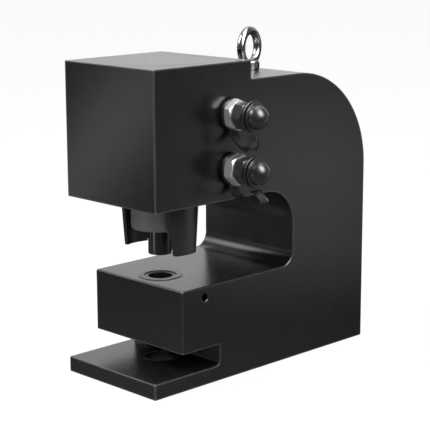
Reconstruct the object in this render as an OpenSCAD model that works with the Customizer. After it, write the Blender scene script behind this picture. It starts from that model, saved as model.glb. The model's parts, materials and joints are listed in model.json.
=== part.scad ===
// Hydraulic punching machine: a solid steel C frame with a double-acting cylinder in its head,
// a round punch held on the ram by a ring nut, a die locked in the jaw, two stripper legs and
// two capped hose couplers on the side. The origin is on the punch axis at the base underside.
// The nose points to -Y, the couplers to +X and the eye bolt up.

/* [Frame] */
// Width of the whole frame, side to side
frame_w = 115; // [110:1:125]
// Depth of the cylinder head, front to back, centred on the punch
head_d = 114; // [112:1:120]
// Opening of the throat, from the jaw top to the head underside
throat_h = 72; // [70:0.5:90]
// Height of the cylinder head
head_h = 120; // [118:1:130]
// How far the frame behind the head lies below the head top
top_step = 16.5; // [12:0.5:22]
// Throat depth, from the punch axis to the back wall of the throat
throat_d = 112.5; // [100:0.5:120]
// Thickness of the spine behind the throat
spine_t = 100.5; // [95:0.5:115]
// Radius of the rounded rear top corner
rear_r = 93.5; // [70:0.5:94]
// Radius of the upper inner corner of the throat
throat_top_r = 33; // [20:1:36]
// Radius of the lower inner corner of the throat
throat_bottom_r = 13.5; // [8:0.5:18]

/* [Jaw and base] */
// Height of the jaw top above the ground
jaw_top_z = 89.5; // [86:0.5:92]
// Height of the jaw underside above the ground
jaw_bottom_z = 33.2; // [28:0.2:36]
// How far the jaw nose reaches in front of the punch axis
jaw_nose = 27; // [25:1:32]
// Thickness of the base plate
base_t = 14; // [10:0.5:18]
// How far the base plate reaches in front of the punch axis
base_nose = 59.6; // [50:0.1:64]
// How far the slot under the jaw reaches behind the punch axis
slot_back = 18.2; // [16:0.1:24]
// Radius of the lower rear corner of that slot
slot_r = 4.5; // [2:0.5:6]
// Diameter of the hole that drops the slugs through jaw and base
slug_d = 30; // [28:1:32]

/* [Cylinder] */
// Bore of the hydraulic cylinder
bore_d = 80; // [78:1:82]
// How far the thread of the cylinder cap stands out past the bore
cap_shoulder = 6.5; // [5:0.5:8]
// Length of the cap thread
cap_t = 26; // [24:1:28]
// Length of the spigot under the cap, which the piston rests against
cap_spigot = 9; // [8:0.5:10]
// Thickness of the piston land
land_t = 20; // [19:1:21]
// Width of the step round the raised crown of the piston
crown_step = 10; // [6:1:14]
// Diameter of the ram rod
rod_d = 50; // [48:1:52]
// Working stroke of the ram
stroke = 28; // [24:1:28]
// Height of the flange of the gland bush, the lower stop of the piston
gland_flange_t = 8; // [7:0.5:9]
// Width of the oil way between the bore and the flange of the gland bush
oil_way = 4; // [3:0.5:5]
// Wall of the gland bush around the rod
gland_wall = 4; // [3.5:0.1:4.5]
// Thickness of the head floor under the cylinder, without the stripper recess
floor_t = 12; // [11:1:13]
// Height of every groove for a seal or a guide ring
groove_h = 5; // [4:0.5:5]
// Depth of the seal grooves
seal_depth = 3.5; // [3:0.1:3.6]
// Depth of the guide ring groove
guide_depth = 2.5; // [2:0.1:3]
// Height of the rod wiper
wiper_h = 4; // [3:0.5:5]
// Running clearance on the radius of the piston and the rod
run_gap = 0.05; // [0.02:0.01:0.1]
// Clearance on the radius of pieces that stay put
seat_gap = 0.05; // [0.02:0.01:0.1]

/* [Punch and die] */
// Diameter of the punch
punch_d = 21; // [12:1:22]
// Length of the punch that shows below its nut
punch_reach = 23.5; // [20:0.5:28]
// Diameter of the head of the punch inside the nut
punch_head_d = 29.8; // [28:0.1:32]
// Thickness of the head of the punch
punch_head_t = 8; // [6:0.5:10]
// Diameter of the nut that holds the punch
nut_d = 51; // [50:1:55]
// Height of that nut
nut_h = 27; // [26:1:30]
// Gap between the nut and the head underside at rest
nut_gap = 1; // [0.5:0.5:2]
// Thickness of the lip at the lower end of the nut
nut_lip = 6; // [4:0.5:8]
// Chamfer round the lower edge of the nut
nut_chamfer = 1.5; // [0.5:0.25:2]
// Diameter of the threaded end of the ram inside the nut
ram_thread_d = 40; // [36:1:44]
// Diametral clearance between punch and die
die_gap = 1; // [0.4:0.1:1.4]
// Outer diameter of the die
die_d = 40; // [38:0.5:44]
// Height of the die
die_h = 25; // [20:1:28]
// How far the die stands proud of the jaw
die_proud = 0.5; // [0.5:0.5:3]
// Depth of the straight cutting land of the die
die_land = 8; // [6:1:10]
// How far the relief below the cutting land stays inside the slug hole
relief_step = 2; // [1:0.5:3]
// Diameter of the shallow dish round the cutting hole
dish_d = 29; // [26:1:32]
// Depth of that dish
dish_t = 0.8; // [0.4:0.1:1.2]
// Depth of the flat on the die for its set screw
die_flat = 1.5; // [1:0.1:2]

/* [Die set screw] */
// Thread diameter of the set screw
set_d = 7; // [6:0.5:8]
// How far the set screw lies below the face of the frame
set_recess = 10.2; // [4:0.2:16]
// Depth of the set screw hole below the jaw top
set_depth = 9.7; // [9:0.1:11]
// Width across flats of the hexagon socket in the set screw
set_socket = 3.5; // [3:0.1:4]
// Chamfer of the mouth of the set screw hole
set_chamfer = 1.4; // [0.5:0.1:2]

/* [Stripper] */
// Inner radius of the stripper legs
leg_in_r = 32; // [31:0.5:33]
// Wall of the stripper legs
leg_wall = 4; // [3:0.5:5]
// Length of the legs below the head
leg_len = 47.5; // [44:0.5:49]
// Half angle that a leg spans at the head
leg_top_angle = 31; // [28:1:38]
// Half angle that a leg spans at its foot
leg_foot_angle = 19.5; // [18:0.5:26]
// Outer diameter of the stripper ring in the head
ring_d = 76; // [74:1:78]
// Inner diameter of the stripper ring
ring_in_d = 57; // [56:0.5:58]
// Thickness of the stripper ring
ring_t = 8; // [7:0.5:9]
// Radius of the circle on which the stripper screws lie
screw_circle_r = 33.5; // [33:0.1:34]
// Head diameter of the stripper screws
screw_head_d = 7; // [6:0.2:7.4]
// Head height of the stripper screws
screw_head_h = 4; // [3:0.5:5]
// Thread diameter of the stripper screws
screw_d = 4; // [3:0.5:5]
// How far the stripper screws reach into the head above the ring
screw_grip = 8; // [6:1:10]
// Width across the corners of the socket in the stripper screws
screw_socket = 3.2; // [2.8:0.1:3.6]

/* [Eye bolt] */
// Distance of the eye bolt behind the punch axis
eye_y = 114; // [100:1:116]
// Outer diameter of the ring of the eye bolt
eye_ring_d = 38; // [34:1:42]
// Wire diameter of the ring
eye_wire = 7.8; // [7:0.2:9]
// Height of the ring centre above the frame
eye_h = 20.3; // [20:0.1:24]
// Diameter of the collar
eye_collar_d = 18.8; // [16:0.2:20]
// Height of the collar
eye_collar_h = 8; // [6:0.5:8]
// Thread diameter of the shank
eye_thread_d = 8; // [6:1:10]
// Length of the shank in the frame
eye_shank = 15; // [12:1:20]
// How far the ring is turned about its shank
eye_turn = 14.3; // [0:0.1:30]

/* [Hose couplers] */
// Distance of the hose ports behind the punch axis
port_y = 31.5; // [29:0.5:33]
// Height of the advance port above the head underside
port_upper_h = 75.4; // [72:0.1:78]
// Height of the return port above the head underside
port_lower_h = 28.1; // [26:0.1:30]
// Thread diameter of the ports
port_d = 16.6; // [15:0.1:17]
// Depth of the port thread
port_depth = 14; // [12:1:15]
// Diameter of the oil galleries
gallery_d = 5; // [4:0.5:5.5]
// Diameter of the oil way through an adaptor
adaptor_bore = 6; // [5:0.5:8]
// Outer diameter of the sealing washer
washer_d = 24; // [22:1:26]
// Thickness of the sealing washer
washer_t = 2; // [1.5:0.1:2.5]
// Width across the corners of the bright adaptor hexagon
adaptor_hex = 28.2; // [26:0.2:30]
// Thickness of the upper adaptor hexagon
adaptor_upper_t = 7.2; // [6.5:0.1:9]
// Thickness of the lower adaptor hexagon
adaptor_lower_t = 9.1; // [7:0.1:11]
// Turn of the upper adaptor hexagon
adaptor_upper_turn = 5; // [0:1:60]
// Turn of the lower adaptor hexagon
adaptor_lower_turn = 49; // [0:1:60]
// Width across the corners of the black coupler hexagon
coupler_hex = 24.6; // [23:0.2:26]
// Length of the black coupler hexagon
coupler_hex_t = 10.5; // [9:0.1:11]
// Turn of the upper coupler hexagon
coupler_upper_turn = 35; // [0:1:60]
// Turn of the lower coupler hexagon
coupler_lower_turn = 40; // [0:1:60]
// Diameter of the thread that joins coupler and adaptor
coupler_thread_d = 13.2; // [12.8:0.1:13.6]
// Length of that thread
coupler_thread_len = 8.2; // [7:0.1:9]
// Diameter of the neck behind the nose
neck_d = 16; // [15:0.5:17]
// Length of the neck
neck_t = 3.7; // [3.5:0.1:5]
// Diameter of the coupler nose
nose_d = 18.4; // [18:0.1:18.8]
// Length of the coupler nose
nose_len = 8; // [7.6:0.1:8.4]
// Diameter of the valve chamber in the coupler
chamber_d = 10.8; // [10.4:0.1:11]
// Diameter of the valve mouth in the nose
mouth_d = 8.4; // [8:0.1:8.8]
// Thickness of the lip round the valve mouth
lip_t = 2; // [1.6:0.1:2.4]
// Thickness of the valve head
valve_head_t = 2.4; // [2:0.1:3]
// Length of the valve stem behind its head
valve_stem_len = 8; // [6:0.5:9]
// Diameter of the valve stem
valve_stem_d = 4; // [3.4:0.1:4.4]
// How far the valve can be pushed in
valve_travel = 2.2; // [1.6:0.1:2.4]
// Length of the valve spring
valve_spring_len = 11; // [10:0.5:12]
// Thickness of the ring that holds the valve spring
valve_ring_t = 2.5; // [2:0.1:3]

/* [Dust caps] */
// Diameter of the rim flange of a dust cap
rim_d = 27.8; // [26:0.2:29]
// Thickness of the rim flange
rim_t = 2; // [1.6:0.1:2.4]
// Diameter of the bead in front of the rim
bead_d = 25; // [24:0.2:26]
// Thickness of the bead
bead_t = 1.4; // [1:0.1:1.6]
// Diameter of the dome of a dust cap
dome_d = 21.2; // [21:0.1:22.4]
// Distance from the coupler neck to the centre of the dome
dome_at = 5.6; // [5.4:0.1:6.4]
// Outer diameter of the tether ring
tether_d = 28; // [26:0.5:29]
// Thickness of the tether ring and strap
tether_t = 2.2; // [1.8:0.1:2.6]
// Width of the tether strap
strap_w = 11; // [8:0.5:13]
// How far down the upper strap is steered to where it leaves its ring
strap_upper_in = 20; // [19:0.5:22]
// How far out the upper strap is steered to before it comes back to the cap
strap_upper_out = 36; // [34:1:38]
// How far down the upper strap is steered there, below the coupler axis
strap_upper_drop = 45; // [42:1:46]
// How far down the lower strap is steered to where it leaves its ring
strap_lower_in = 33; // [31:0.5:35]
// How far out the lower strap is steered to before it comes back to the cap
strap_lower_out = 67; // [63:1:69]
// How far down the lower strap is steered there, below the coupler axis
strap_lower_drop = 33; // [31:1:35]

/* [Hidden] */
$fn = 96;

// Overlap that lets one cut run cleanly through a face
over = 1;
head_bottom_z = jaw_top_z + throat_h;
head_top_z = head_bottom_z + head_h;
frame_top_z = head_top_z - top_step;
rear_y = throat_d + spine_t;
face_x = frame_w / 2;
port_upper_z = head_bottom_z + port_upper_h;
port_lower_z = head_bottom_z + port_lower_h;

// Levels in the cylinder, from the floor of the head up to the cap
recess_top_z = head_bottom_z + ring_t;
floor_top_z = recess_top_z + floor_t;
low_stop_z = floor_top_z + gland_flange_t;
cap_seat_z = head_top_z - cap_t;
high_stop_z = cap_seat_z - cap_spigot;
land_z = low_stop_z + stroke;
crown_z = land_z + land_t;
crown_top_z = high_stop_z - seat_gap * 2;
gland_d = rod_d + 2 * gland_wall;
gland_flange_d = bore_d - 2 * oil_way;
crown_d = bore_d - 2 * crown_step;
cap_d = bore_d + 2 * cap_shoulder;

// Levels of the punch and what holds it
die_top_z = jaw_top_z + die_proud;
die_bottom_z = die_top_z - die_h;
nut_top_z = head_bottom_z - nut_gap;
nut_z = nut_top_z - nut_h;
punch_tip_z = nut_z - punch_reach;
punch_head_z = nut_z + nut_lip;
ram_thread_z = punch_head_z + punch_head_t;

// Places of the grooves round the piston land and the cap spigot
groove_edge = 3;
cap_groove_z = high_stop_z + (cap_spigot - groove_h) / 2;
guide_z = land_z + groove_edge;
seal_z = crown_z - groove_edge - groove_h;
rod_seal_z = low_stop_z - gland_flange_t / 2 - groove_h / 2;
rod_seal_d = rod_d + 2 * seal_depth;
wiper_d = rod_d + 2 * guide_depth;

// The set screw presses on the flat of the die
set_z = jaw_top_z - set_depth;
flat_x = die_d / 2 - die_flat;
set_x = flat_x + seat_gap;
set_len = face_x - set_recess - set_x;

// The four stripper screws lie between the legs
screw_angles = [62, 118, 242, 298];

// Levels along a coupler, counted outwards from the face of the frame, for an adaptor of
// thickness t
tether_a = washer_t;
hex_a = tether_a + tether_t;

function body_a(t) = hex_a + t;
function neck_a(t) = body_a(t) + coupler_hex_t;
function nose_a(t) = neck_a(t) + neck_t;
function tip_a(t) = nose_a(t) + nose_len;
function dome_a(t) = nose_a(t) + dome_at;
function valve_a(t) = tip_a(t) - lip_t - seat_gap;

// Clearances of the dust cap, the valve and the strap
rim_gap = 0.4;
mouth_gap = 0.3;
strap_gap = 0.35;
bead_gap = 1.3;
loose_gap = 0.2;
spring_wire = 1;
spring_gap = 0.6;
spring_d = chamber_d - 2 * spring_gap;

// Steps along a strap, how far ahead its direction is taken, and how near the frame it starts down
strap_steps = 24;
strap_ahead = 0.01;
strap_lead = 1;

// A cylinder from point p to point q
module rod_between(p, q, d) {
  v = q - p;
  length = norm(v);
  translate(p)
    rotate([0, acos(v.z / length), atan2(v.y, v.x)])
      cylinder(d = d, h = length);
}

// A plain ring that stands on z
module ring(outer_d, inner_d, z, h) {
  translate([0, 0, z])
    difference() {
      cylinder(d = outer_d, h = h);
      translate([0, 0, -over])
        cylinder(d = inner_d, h = h + 2 * over);
    }
}

// A straight round bore from z up over h
module bore(d, z, h) {
  translate([0, 0, z])
    cylinder(d = d, h = h);
}

// The corner left over between a square corner and its arc, for cutting or filling
module corner(r) {
  difference() {
    square(r + over);
    circle(r);
  }
}

// Side view of the frame, drawn in Y and Z
module frame_side() {
  difference() {
    union() {
      translate([-head_d / 2, head_bottom_z])
        square([head_d, head_h]);
      translate([0, head_bottom_z])
        square([rear_y, frame_top_z - head_bottom_z]);
      translate([-jaw_nose, jaw_bottom_z])
        square([rear_y + jaw_nose, jaw_top_z - jaw_bottom_z]);
      translate([-base_nose, 0])
        square([rear_y + base_nose, base_t]);
      translate([slot_back, 0])
        square([rear_y - slot_back, jaw_bottom_z + over]);
      translate([throat_d, 0])
        square([spine_t, frame_top_z]);
      translate([throat_d - throat_top_r, head_bottom_z - throat_top_r])
        corner(throat_top_r);
      translate([throat_d - throat_bottom_r, jaw_top_z + throat_bottom_r])
        mirror([0, 1])
          corner(throat_bottom_r);
      translate([slot_back - slot_r, base_t + slot_r])
        mirror([0, 1])
          corner(slot_r);
    }
    translate([rear_y - rear_r, frame_top_z - rear_r])
      corner(rear_r);
  }
}

// Threaded port and the slanting oil gallery that leads to the cylinder
module port_cut(z, chamber_z) {
  wall_x = sqrt(bore_d * bore_d / 4 - port_y * port_y);
  translate([face_x - port_depth, port_y, z])
    rotate([0, 90, 0])
      cylinder(d = port_d + 2 * seat_gap, h = port_depth + over);
  rod_between(
    [face_x - port_depth + over, port_y, z],
    [wall_x - gallery_d, port_y - over, chamber_z],
    gallery_d
  );
}

module frame() {
  color("#26272a")
    difference() {
      translate([-face_x, 0, 0])
        rotate([90, 0, 90])
          linear_extrude(frame_w)
            frame_side();
      bore(bore_d, floor_top_z, cap_seat_z - floor_top_z + over);
      bore(cap_d + 2 * seat_gap, cap_seat_z, cap_t + over);
      bore(gland_d + 2 * seat_gap, recess_top_z - over, floor_t + 2 * over);
      bore(ring_d + 2 * seat_gap, head_bottom_z - over, ring_t + over);
      for (a = screw_angles)
        rotate([0, 0, a])
          translate([screw_circle_r, 0, 0])
            bore(screw_d + 2 * seat_gap, recess_top_z - over, screw_grip + 2 * over);
      port_cut(port_upper_z, (crown_z + high_stop_z) / 2);
      port_cut(port_lower_z, (floor_top_z + low_stop_z) / 2);
      bore(die_d + 2 * seat_gap, die_bottom_z, jaw_top_z - die_bottom_z + over);
      bore(slug_d, -over, die_bottom_z + 2 * over);
      translate([0, 0, set_z])
        rotate([0, 90, 0]) {
          cylinder(d = set_d + 2 * seat_gap, h = face_x + over);
          translate([0, 0, face_x - set_chamfer])
            cylinder(
              d1 = set_d + 2 * seat_gap,
              d2 = set_d + 2 * set_chamfer + 2 * over,
              h = set_chamfer + over
            );
        }
      translate([0, eye_y, frame_top_z - eye_shank - over])
        cylinder(d = eye_thread_d + 2 * seat_gap, h = eye_shank + 2 * over);
    }
}

module cylinder_cap() {
  color("#2f3033") {
    bore(cap_d, cap_seat_z, cap_t);
    difference() {
      bore(bore_d - 2 * run_gap, high_stop_z, cap_spigot + over);
      ring(bore_d + over, bore_d - 2 * seal_depth, cap_groove_z, groove_h);
    }
  }
}

module cap_seal() {
  color("#1b1b1c")
    ring(bore_d - run_gap, bore_d - 2 * seal_depth + 2 * seat_gap, cap_groove_z, groove_h);
}

module gland_bush() {
  color("#a8834a")
    difference() {
      union() {
        bore(gland_d, recess_top_z, floor_t);
        bore(gland_flange_d, floor_top_z, gland_flange_t);
      }
      bore(rod_d, recess_top_z - over, floor_t + gland_flange_t + 2 * over);
      bore(rod_seal_d, rod_seal_z, groove_h);
      bore(wiper_d, recess_top_z - over, wiper_h + over);
    }
}

module rod_seal() {
  color("#1b1b1c")
    ring(rod_seal_d - 2 * seat_gap, rod_d, rod_seal_z, groove_h);
}

module rod_wiper() {
  color("#1b1b1c")
    ring(wiper_d - 2 * seat_gap, rod_d, recess_top_z, wiper_h);
}

module ram() {
  color("#b9bcc0")
    difference() {
      union() {
        bore(ram_thread_d, ram_thread_z, nut_top_z - ram_thread_z + over);
        bore(rod_d - 2 * run_gap, nut_top_z, land_z - nut_top_z + over);
        bore(bore_d - 2 * run_gap, land_z, land_t);
        bore(crown_d, land_z, crown_top_z - land_z);
      }
      ring(bore_d + over, bore_d - 2 * seal_depth, seal_z, groove_h);
      ring(bore_d + over, bore_d - 2 * guide_depth, guide_z, groove_h);
    }
}

module piston_seal() {
  color("#1b1b1c")
    ring(bore_d - 2 * run_gap, bore_d - 2 * seal_depth + 2 * seat_gap, seal_z, groove_h);
}

module piston_guide_ring() {
  color("#7a5a3a")
    ring(bore_d - 2 * run_gap, bore_d - 2 * guide_depth + 2 * seat_gap, guide_z, groove_h);
}

module punch_nut() {
  color("#77787a")
    difference() {
      union() {
        bore(nut_d, nut_z + nut_chamfer, nut_h - nut_chamfer);
        translate([0, 0, nut_z])
          cylinder(d1 = nut_d - 2 * nut_chamfer, d2 = nut_d, h = nut_chamfer);
      }
      bore(punch_d + 2 * seat_gap, nut_z - over, nut_lip + 2 * over);
      bore(punch_head_d + 2 * seat_gap, punch_head_z, punch_head_t + over);
      bore(ram_thread_d + 2 * seat_gap, ram_thread_z, nut_top_z - ram_thread_z + over);
    }
}

module punch() {
  color("#1d1d1f") {
    bore(punch_d, punch_tip_z, punch_head_z - punch_tip_z + over);
    bore(punch_head_d, punch_head_z, punch_head_t);
  }
}

module die() {
  color("#2c2d2f")
    difference() {
      bore(die_d, die_bottom_z, die_h);
      bore(punch_d + die_gap, die_bottom_z - over, die_h + 2 * over);
      bore(slug_d - 2 * relief_step, die_bottom_z - over, die_h - die_land + over);
      bore(dish_d, die_top_z - dish_t, dish_t + over);
      translate([flat_x, -die_d / 2, die_bottom_z - over])
        cube([die_flat + over, die_d, die_h + 2 * over]);
    }
}

module die_set_screw() {
  color("#3a3b3d")
    translate([set_x, 0, set_z])
      rotate([0, 90, 0])
        difference() {
          cylinder(d = set_d, h = set_len);
          translate([0, 0, set_len - set_socket])
            cylinder(d = set_socket / cos(30), h = set_socket + over, $fn = 6);
        }
}

// Side of a leg, seen along Y: narrower at the foot
module leg_wedge() {
  outer = leg_in_r + leg_wall;
  top_half = outer * sin(leg_top_angle);
  foot_half = outer * sin(leg_foot_angle);
  rotate([90, 0, 90])
    linear_extrude(outer + over)
      polygon([
        [-foot_half, head_bottom_z - leg_len],
        [foot_half, head_bottom_z - leg_len],
        [top_half, head_bottom_z],
        [top_half, head_bottom_z + over],
        [-top_half, head_bottom_z + over],
        [-top_half, head_bottom_z]
      ]);
}

module stripper() {
  outer_d = 2 * (leg_in_r + leg_wall);
  color("#2a2b2d") {
    difference() {
      ring(ring_d, ring_in_d, head_bottom_z, ring_t);
      for (a = screw_angles)
        rotate([0, 0, a])
          translate([screw_circle_r, 0, 0]) {
            bore(screw_head_d + 2 * seat_gap, head_bottom_z - over, screw_head_h + over);
            bore(screw_d + 2 * seat_gap, head_bottom_z, ring_t + over);
          }
    }
    for (side = [0, 1])
      mirror([side, 0, 0])
        intersection() {
          ring(outer_d, 2 * leg_in_r, head_bottom_z - leg_len, leg_len + over);
          leg_wedge();
        }
  }
}

module stripper_screws() {
  color("#3a3b3d")
    for (a = screw_angles)
      rotate([0, 0, a])
        translate([screw_circle_r, 0, 0])
          difference() {
            union() {
              bore(screw_head_d, head_bottom_z, screw_head_h);
              bore(screw_d, head_bottom_z, ring_t + screw_grip);
            }
            translate([0, 0, head_bottom_z - over])
              cylinder(d = screw_socket, h = screw_head_h / 2 + over, $fn = 6);
          }
}

module eyebolt() {
  ring_r = (eye_ring_d - eye_wire) / 2;
  color("#c9cbcc")
    translate([0, eye_y, frame_top_z])
      rotate([0, 0, eye_turn]) {
        cylinder(d = eye_collar_d, h = eye_collar_h);
        translate([0, 0, -eye_shank])
          cylinder(d = eye_thread_d, h = eye_shank + over);
        translate([0, 0, eye_h])
          rotate([0, 90, 0])
            rotate_extrude()
              translate([ring_r, 0])
                circle(d = eye_wire, $fn = 48);
      }
}

// Places its children on a port, with their Z axis pointing out of the frame
module on_port(z) {
  translate([face_x, port_y, z])
    rotate([0, 90, 0])
      children();
}

module port_washer() {
  color("#7d7f82")
    ring(washer_d, port_d + 2 * loose_gap, 0, washer_t);
}

module adaptor(t, turn) {
  color("#c8c6bf")
    difference() {
      union() {
        translate([0, 0, over - port_depth])
          cylinder(d = port_d, h = port_depth + hex_a);
        translate([0, 0, hex_a])
          rotate([0, 0, turn])
            cylinder(d = adaptor_hex, h = t, $fn = 6);
      }
      bore(adaptor_bore, -port_depth, port_depth + body_a(t));
      translate([0, 0, body_a(t) - coupler_thread_len])
        cylinder(d = coupler_thread_d + 2 * seat_gap, h = coupler_thread_len + over);
    }
}

module coupler(t, turn) {
  tail_a = body_a(t) - coupler_thread_len;
  color("#222325")
    difference() {
      union() {
        bore(coupler_thread_d, tail_a + seat_gap, coupler_thread_len + over);
        translate([0, 0, body_a(t)])
          rotate([0, 0, turn])
            cylinder(d = coupler_hex, h = coupler_hex_t, $fn = 6);
        bore(neck_d, neck_a(t) - over, neck_t + 2 * over);
        bore(nose_d, nose_a(t), nose_len);
      }
      bore(mouth_d, body_a(t), tip_a(t));
      bore(chamber_d, tail_a - over, tip_a(t) - lip_t - tail_a + over);
    }
}

// The valve closes against the inside of the lip of the nose
module valve(t) {
  head_a = valve_a(t) - valve_head_t;
  color("#b6a06a") {
    bore(chamber_d - 2 * mouth_gap, head_a, valve_head_t);
    bore(mouth_d - 2 * mouth_gap, head_a + over, valve_head_t + lip_t - over - mouth_gap);
    bore(valve_stem_d, head_a - valve_stem_len, valve_stem_len + over);
  }
}

module valve_spring(t) {
  start = valve_a(t) - valve_head_t - valve_spring_len;
  color("#b9bcc0")
    ring(spring_d, spring_d - 2 * spring_wire, start, valve_spring_len);
}

module valve_ring(t) {
  spring_end = valve_a(t) - valve_head_t - valve_spring_len - valve_travel - mouth_gap;
  color("#8d8f92")
    ring(chamber_d - 2 * seat_gap, adaptor_bore, spring_end - valve_ring_t, valve_ring_t);
}

module dust_cap(t) {
  start = nose_a(t) + rim_gap;
  color("#161617")
    difference() {
      union() {
        bore(rim_d, start, rim_t);
        bore(bead_d, start + rim_t + bead_gap, bead_t);
        bore(dome_d, start, dome_a(t) - start);
        translate([0, 0, dome_a(t)])
          sphere(d = dome_d);
      }
      bore(nose_d + 2 * run_gap, dome_a(t) - dome_d, tip_a(t) + rim_gap - dome_a(t) + dome_d);
    }
}

function bezier(a, b, c, d, u) =
  pow(1 - u, 3) * a + 3 * pow(1 - u, 2) * u * b + 3 * (1 - u) * u * u * c + pow(u, 3) * d;

// Points beside the middle line of a strap, at half its thickness to one side
function strap_side(p, side) = [
  for (i = [0:strap_steps])
    let (
      u = i / strap_steps,
      here = bezier(p[0], p[1], p[2], p[3], u),
      ahead = bezier(p[0], p[1], p[2], p[3], u + strap_ahead),
      way = (ahead - here) / norm(ahead - here)
    )
    here + side * tether_t / 2 * [-way.y, way.x]
];

// A ring under the adaptor and a strap that hangs down and comes up to the rim of the cap
module tether(t, near, out, drop) {
  rim_middle = nose_a(t) + rim_gap + rim_t / 2;
  line = [
    [tether_a + tether_t / 2, over - tether_d / 2],
    [strap_lead, -near],
    [out, -drop],
    [rim_middle, -rim_d / 2 - strap_gap - tether_t / 2]
  ];
  inner = strap_side(line, 1);
  outer = strap_side(line, -1);
  count = len(outer);
  color("#1a1a1b") {
    ring(tether_d, port_d + 2 * loose_gap, tether_a, tether_t);
    rotate([90, -90, 0])
      linear_extrude(strap_w, center = true)
        polygon([for (p = inner) p, for (i = [count - 1:-1:0]) outer[i]]);
  }
}

frame();
cylinder_cap();
cap_seal();
gland_bush();
rod_seal();
rod_wiper();
ram();
piston_seal();
piston_guide_ring();
punch_nut();
punch();
die();
die_set_screw();
stripper();
stripper_screws();
eyebolt();
on_port(port_upper_z) port_washer();  // upper_port_washer
on_port(port_lower_z) port_washer();  // lower_port_washer
on_port(port_upper_z) adaptor(adaptor_upper_t, adaptor_upper_turn);  // upper_adaptor
on_port(port_lower_z) adaptor(adaptor_lower_t, adaptor_lower_turn);  // lower_adaptor
on_port(port_upper_z) coupler(adaptor_upper_t, coupler_upper_turn);  // upper_coupler
on_port(port_lower_z) coupler(adaptor_lower_t, coupler_lower_turn);  // lower_coupler
on_port(port_upper_z) valve(adaptor_upper_t);  // upper_valve
on_port(port_lower_z) valve(adaptor_lower_t);  // lower_valve
on_port(port_upper_z) valve_spring(adaptor_upper_t);  // upper_valve_spring
on_port(port_lower_z) valve_spring(adaptor_lower_t);  // lower_valve_spring
on_port(port_upper_z) valve_ring(adaptor_upper_t);  // upper_valve_ring
on_port(port_lower_z) valve_ring(adaptor_lower_t);  // lower_valve_ring
on_port(port_upper_z)  // upper_tether
    tether(adaptor_upper_t, strap_upper_in, strap_upper_out, strap_upper_drop);
on_port(port_lower_z)  // lower_tether
    tether(adaptor_lower_t, strap_lower_in, strap_lower_out, strap_lower_drop);
on_port(port_upper_z) dust_cap(adaptor_upper_t);  // upper_dust_cap
on_port(port_lower_z) dust_cap(adaptor_lower_t);  // lower_dust_cap
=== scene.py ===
# %% [markdown]
# # A hydraulic punching machine
#
# The machine is one thick C of black steel. A cylinder in its head drives a round punch down into
# a die in the jaw, two legs strip the work off the punch, and two capped hose couplers bring the
# oil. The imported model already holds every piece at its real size, so this script only gives the
# pieces their looks: rounded edges, turned faces, moulded rubber and the finish of each metal.
#
# Everything is in metres. Z is up, the nose points to -Y and the couplers to +X.

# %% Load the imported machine
import json
import math
import bpy
from mathutils import Matrix, Vector

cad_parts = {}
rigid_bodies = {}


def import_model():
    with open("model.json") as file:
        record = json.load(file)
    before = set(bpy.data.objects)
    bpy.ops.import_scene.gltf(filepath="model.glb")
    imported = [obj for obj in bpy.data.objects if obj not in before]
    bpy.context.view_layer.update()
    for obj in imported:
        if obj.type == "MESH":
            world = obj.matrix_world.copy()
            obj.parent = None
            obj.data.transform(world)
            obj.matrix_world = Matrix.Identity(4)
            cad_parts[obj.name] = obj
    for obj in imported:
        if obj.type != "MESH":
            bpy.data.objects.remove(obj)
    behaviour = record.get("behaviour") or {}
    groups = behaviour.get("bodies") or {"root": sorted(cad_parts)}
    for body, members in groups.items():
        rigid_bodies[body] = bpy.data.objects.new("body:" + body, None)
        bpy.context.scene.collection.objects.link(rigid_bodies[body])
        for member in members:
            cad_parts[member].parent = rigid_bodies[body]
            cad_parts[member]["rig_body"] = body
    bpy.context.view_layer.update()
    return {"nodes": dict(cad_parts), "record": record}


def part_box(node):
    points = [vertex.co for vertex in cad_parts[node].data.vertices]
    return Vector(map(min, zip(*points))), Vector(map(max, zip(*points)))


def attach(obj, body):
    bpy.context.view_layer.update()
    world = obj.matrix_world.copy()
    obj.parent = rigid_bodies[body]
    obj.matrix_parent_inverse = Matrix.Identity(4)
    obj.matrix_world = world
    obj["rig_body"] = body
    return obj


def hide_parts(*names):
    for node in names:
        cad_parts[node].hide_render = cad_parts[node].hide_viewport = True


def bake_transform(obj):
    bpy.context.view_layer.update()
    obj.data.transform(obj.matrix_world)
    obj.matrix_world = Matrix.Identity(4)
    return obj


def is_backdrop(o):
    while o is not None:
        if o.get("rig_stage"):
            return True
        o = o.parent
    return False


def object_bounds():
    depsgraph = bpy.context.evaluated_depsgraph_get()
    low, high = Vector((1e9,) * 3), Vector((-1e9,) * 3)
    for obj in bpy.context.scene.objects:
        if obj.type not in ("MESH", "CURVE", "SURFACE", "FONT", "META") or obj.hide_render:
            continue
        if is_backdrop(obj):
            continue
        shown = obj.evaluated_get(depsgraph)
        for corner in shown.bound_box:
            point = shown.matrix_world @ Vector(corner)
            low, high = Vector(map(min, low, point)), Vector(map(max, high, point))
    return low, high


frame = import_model()

# %% [markdown]
# ## The sizes that the shapes share
#
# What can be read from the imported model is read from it, so a skin always fits the piece that it
# covers. The rest, such as the radii of the frame's corners, are written here in millimetres.

# %% Shared sizes
mm = 0.001
body_of = {name: node["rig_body"] for name, node in frame["nodes"].items()}
slot_of = {row["node"]: row["material_slot"] for row in frame["record"]["subparts"]}

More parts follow.
